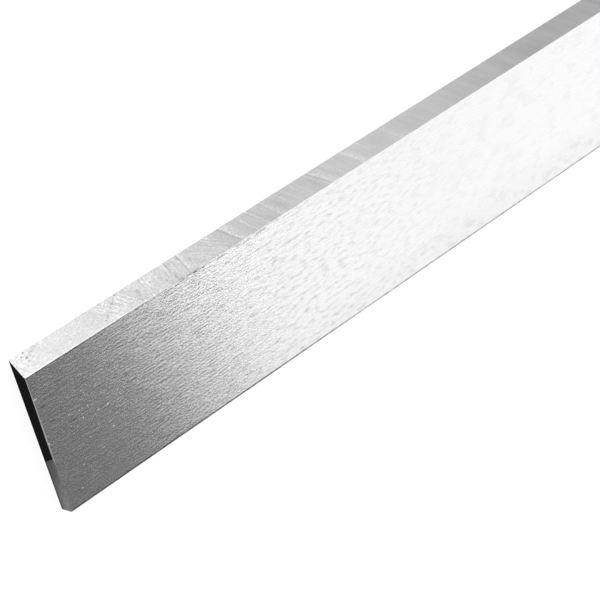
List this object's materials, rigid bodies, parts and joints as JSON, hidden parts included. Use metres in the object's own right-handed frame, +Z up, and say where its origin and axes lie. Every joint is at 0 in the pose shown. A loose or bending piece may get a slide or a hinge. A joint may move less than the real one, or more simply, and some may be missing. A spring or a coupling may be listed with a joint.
{
  "type": "planer knife",
  "caption": "Long flat steel planer knife with square ends, a satin ground front face and a wide ground bevel along one long edge.",
  "frame": {"origin": "middle of the rear face, which lies on the surface", "axes": "+X along the knife, +Y towards the cutting edge, +Z up from the rear face to the front face"},
  "size_m": [0.31, 0.03, 0.003],
  "materials": {
    "ground_steel": "surface ground lengthwise to a satin, cup wheel marks across the bevel, near end black from the cutting edge down to a bare last third"
  },
  "bodies": {
    "root": {"knife": "ground_steel"}
  },
  "joints": []
}
